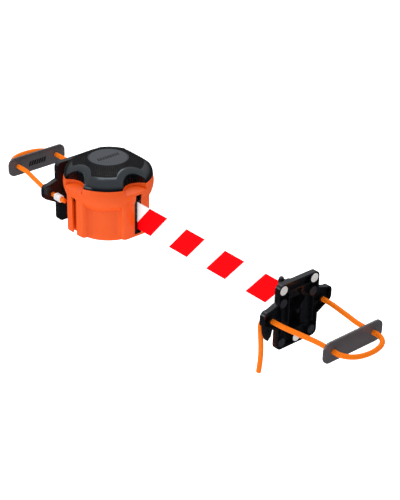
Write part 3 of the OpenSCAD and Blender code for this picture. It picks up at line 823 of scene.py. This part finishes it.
def tape_finish():
    """Plain-woven polyester, white with slanted red stripes and a grey band along each edge. They are laid
    out along the frame's X, so pulled-out tape keeps its pitch, and by the height that the UV keeps, so they
    rise with the tape."""
    material, shader, add, join = start_finish("tape_striped_weave")
    where = add("ShaderNodeSeparateXYZ")
    join(add("ShaderNodeTexCoord").outputs["Object"], where.inputs[0])
    kept = add("ShaderNodeSeparateXYZ")
    join(add("ShaderNodeTexCoord").outputs["UV"], kept.inputs[0])
    height = kept.outputs["Y"]
    below_top = worked_out(add, join, "SUBTRACT", tape_high.z, height)
    run = worked_out(add, join, "MULTIPLY_ADD", below_top, stripe_lean, where.outputs["X"])
    run = worked_out(add, join, "SUBTRACT", run, stripe_start)
    turn = worked_out(add, join, "DIVIDE", run, stripe_pitch)
    within = worked_out(add, join, "SUBTRACT", turn, worked_out(add, join, "FLOOR", turn))
    red = worked_out(add, join, "LESS_THAN", within, stripe_share)
    off_middle = worked_out(add, join, "SUBTRACT", height, (tape_low.z + tape_high.z) / 2)
    # A grey band along the top and bottom edges of the white.
    edge_grey_band = worked_out(add, join, "GREATER_THAN", worked_out(add, join, "ABSOLUTE", off_middle),
                     (tape_high.z - tape_low.z) / 2 - edge_band_width)
    white = add("ShaderNodeMix", data_type="RGBA")
    white.inputs["A"].default_value = (0.94, 0.94, 0.95, 1)
    white.inputs["B"].default_value = (0.58, 0.58, 0.60, 1)
    join(edge_grey_band, white.inputs["Factor"])
    stripes = add_blend(add, join, shader, red, (1, 1, 1), (0.93, 0.0, 0.003))
    join(white.outputs["Result"], stripes.inputs["A"])
    threads = []
    for socket in (where.outputs["X"], height):
        phase = worked_out(add, join, "MULTIPLY", socket, 2 * math.pi / thread_pitch)
        threads.append(worked_out(add, join, "SINE", phase))
    add_bump(add, join, shader, worked_out(add, join, "MULTIPLY", *threads), 0.25, 0.00006)
    shader.inputs["Roughness"].default_value = 0.75
    shader.inputs["Specular IOR Level"].default_value = 0.03
    return material


def tape_band(line, closed):
    """Verts and faces of a band of the tape's width and thickness that follows a line seen from above."""
    verts, faces = [], []
    n = len(line)
    heights = [tape_low.z, tape_low.z + hem_fold, tape_low.z + flat_from, (tape_low.z + tape_high.z) / 2,
               tape_high.z - flat_from, tape_high.z - hem_fold, tape_high.z]
    for i, p in enumerate(line):
        if closed:
            before, after = line[i - 1], line[(i + 1) % n]
        else:
            before, after = line[max(i - 1, 0)], line[min(i + 1, n - 1)]
        along = (after - before).normalized()
        across = Vector((-along.y, along.x, 0)) * tape_t / 2
        verts += [p + across + Vector((0, 0, z)) for z in heights]
        verts += [p - across + Vector((0, 0, z)) for z in reversed(heights)]
    m = 2 * len(heights)
    for i in range(n if closed else n - 1):
        j = (i + 1) % n
        faces += [(i * m + k, i * m + (k + 1) % m, j * m + (k + 1) % m, j * m + k) for k in range(m)]
    if not closed:
        faces += [tuple(range(m - 1, -1, -1)), tuple((n - 1) * m + k for k in range(m))]
    return verts, faces


# Seen from above, the tape leaves the coil straight for the slot's lip, bends over it, and runs straight to
# the loop round the pin.
lip = Vector((slot_face_x - 0.002, pin.y, 0))
reach = lip - axis
leave = math.atan2(reach.y, reach.x) + math.acos(coil_r / reach.length)
coil_edge = axis + coil_r * Vector((math.cos(leave), math.sin(leave), 0))
over_lip = [lip + Vector((-0.001, 0.00065, 0)), lip + Vector((0, 0.0002, 0))]
straight_start = (lip + Vector((0.0015, 0, 0))).x
straight_end = pin.x - loop_r
line = [coil_edge.lerp(over_lip[0], k / inner_steps) for k in range(inner_steps)] + over_lip
line += [Vector((straight_start + (straight_end - straight_start) * k / straight_steps, pin.y, 0))
         for k in range(straight_steps + 1)]
loop = [pin + Vector((-loop_r, 0, 0))]
for k in range(1, loop_steps):
    a = 2 * math.pi * k / loop_steps
    loop.append(pin + loop_r * Vector((-math.cos(a), math.sin(a), 0)))

verts, faces = tape_band(line, False)
ring_verts, ring_faces = tape_band(loop, True)
faces += [tuple(len(verts) + i for i in f) for f in ring_faces]
tape = new_piece("striped_tape", verts + ring_verts, faces, tape_finish())
tape.data.set_sharp_from_angle(angle=math.radians(40))
uv = tape.data.uv_layers.new(name="height").data
for corner in tape.data.loops:
    spot = tape.data.vertices[corner.vertex_index].co
    uv[corner.index].uv = (spot.x, spot.z)
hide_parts("tape_run")
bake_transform(tape)

# ----------------------------------------------------------------------------------------------------------
# The clip and its pin. A black nylon clip hangs on the receiver's rail like a casing would; the blackened
# pin through its two lugs holds the tape's loop and lets the clip swivel.
clip = rounded_copy("tape_clip", "tape_clip_body", 0.0006, nylon, segments=3)
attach(clip, "clip")
black_steel = moulded_finish("blackened_steel", (0.020, 0.021, 0.024), (0.035, 0.036, 0.040), (0.3, 0.42),
                             0.5, grain=0.0004, depth=0.00003, tone=0.005, metal=0.6)
clip_pin = rounded_copy("clip_pin", "swivel_pin", 0.0004, black_steel)
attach(clip_pin, "tape_end")

# ----------------------------------------------------------------------------------------------------------
# The fixed parts inside: the steel spindle pressed into the casing's floor, the bronze thrust washer that
# the reel runs on, the spring clip above it, and the socket screw that draws the cap down on the spindle.
steel = moulded_finish("turned_steel", (0.56, 0.57, 0.58), (0.70, 0.70, 0.71), (0.25, 0.38), 0.5,
                       grain=0.0004, depth=0.00003, tone=0.005, metal=1.0)
bronze = moulded_finish("sintered_bronze", (0.42, 0.26, 0.11), (0.56, 0.36, 0.17), (0.42, 0.6), 0.5,
                        grain=0.0003, depth=0.00006, tone=0.004, metal=0.9)
spring_steel = moulded_finish("blued_spring_steel", (0.10, 0.12, 0.17), (0.22, 0.25, 0.31), (0.25, 0.4),
                              0.5, grain=0.0006, depth=0.00003, tone=0.008, metal=1.0)


def dress(node, material):
    """Puts a finish on a CAD node that keeps its own shape."""
    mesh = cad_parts[node].data
    mesh.materials.clear()
    mesh.materials.append(material)


dress("spindle", steel)
dress("cap_screw", steel)
dress("thrust_washer", bronze)
dress("reel_clip_ring", spring_steel)

# ----------------------------------------------------------------------------------------------------------
# The mainspring. Six turns of blued spring steel coiled in the drum, hooked to the spindle inside and the
# drum outside, that winds the tape back.
dress("mainspring", spring_steel)

# ----------------------------------------------------------------------------------------------------------
# The reel. A black nylon drum with its lower flange, a pressed-on upper flange, a snap-in spring cover and
# two bronze bushes that turn on the spindle.
reel_nylon = moulded_finish("reel_nylon", (0.012, 0.013, 0.015), (0.022, 0.024, 0.026), (0.35, 0.5), 0.4)
for node in ("reel_drum", "reel_flange", "spring_cover"):
    dress(node, reel_nylon)
for node in ("reel_bush_lower", "reel_bush_upper"):
    dress(node, bronze)

# ----------------------------------------------------------------------------------------------------------
# The wound tape. The rest of the 9 m of tape, wound on the drum in tight layers that show as fine rings
# from above, with the stripes' red showing in some of them.


def wound_finish():
    """Edges of tightly wound layers: fine rings of white and red round the reel's axis."""
    material, shader, add, join = start_finish("wound_tape_layers")
    from_axis = add("ShaderNodeVectorMath", operation="SUBTRACT")
    join(add("ShaderNodeTexCoord").outputs["Object"], from_axis.inputs[0])
    from_axis.inputs[1].default_value = axis
    where = add("ShaderNodeSeparateXYZ")
    join(from_axis.outputs[0], where.inputs[0])
    squared = worked_out(add, join, "MULTIPLY", where.outputs["X"], where.outputs["X"])
    squared = worked_out(add, join, "MULTIPLY_ADD", where.outputs["Y"], where.outputs["Y"], squared)
    radius = worked_out(add, join, "SQRT", squared)
    layer = worked_out(add, join, "FLOOR", worked_out(add, join, "DIVIDE", radius, tape_t))
    pick = add("ShaderNodeTexWhiteNoise", noise_dimensions="1D")
    join(layer, pick.inputs["W"])
    red = worked_out(add, join, "LESS_THAN", pick.outputs["Value"], stripe_share)
    add_blend(add, join, shader, red, (0.85, 0.85, 0.86), (0.80, 0.010, 0.015))
    edge = worked_out(add, join, "SINE", worked_out(add, join, "MULTIPLY", radius, 2 * math.pi / tape_t))
    add_bump(add, join, shader, edge, 0.5, 0.0001)
    shader.inputs["Roughness"].default_value = 0.7
    return material


dress("wound_tape", wound_finish())
